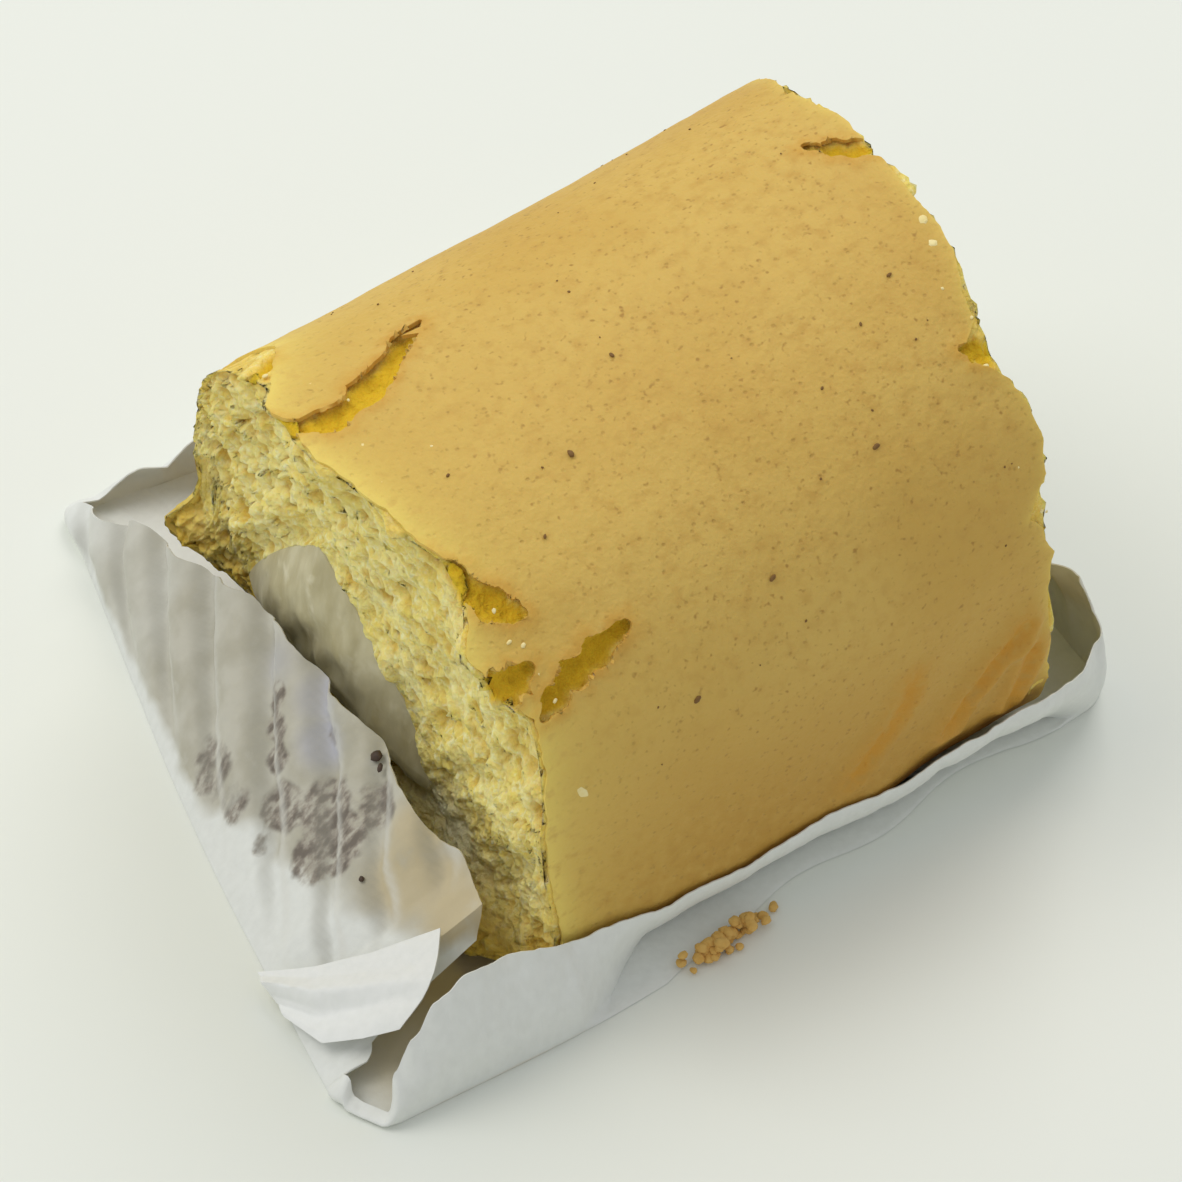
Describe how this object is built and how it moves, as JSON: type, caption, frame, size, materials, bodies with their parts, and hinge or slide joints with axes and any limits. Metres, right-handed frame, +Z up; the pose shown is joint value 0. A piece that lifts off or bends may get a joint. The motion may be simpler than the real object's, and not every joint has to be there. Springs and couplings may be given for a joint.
{
  "type": "sliced banana roll cake",
  "caption": "Slice of soft sponge roll cake with a mashed banana filling that shows at both cuts, resting in its own pleated white paper case.",
  "frame": {"origin": "middle of the underside of the whole, on the surface that the paper case rests on", "axes": "+X along the roll from the near cut to the far cut, the longest way; +Y across the roll to its back; +Z up, the shortest way"},
  "size_m": [0.0852, 0.075, 0.0514],
  "materials": {
    "sponge": "matt baked sponge: thin tan skin with fine freckles outside, pale yellow open crumb at the cuts and in the tears",
    "filling": "moist grey-white mashed banana cream with a few dark seed specks",
    "case_paper": "thin white greaseproof paper, pleated, stained grey-brown where the filling wets it"
  },
  "bodies": {
    "root": {"sponge_roll": "sponge", "banana_filling": "filling", "paper_case": "case_paper"}
  },
  "joints": []
}
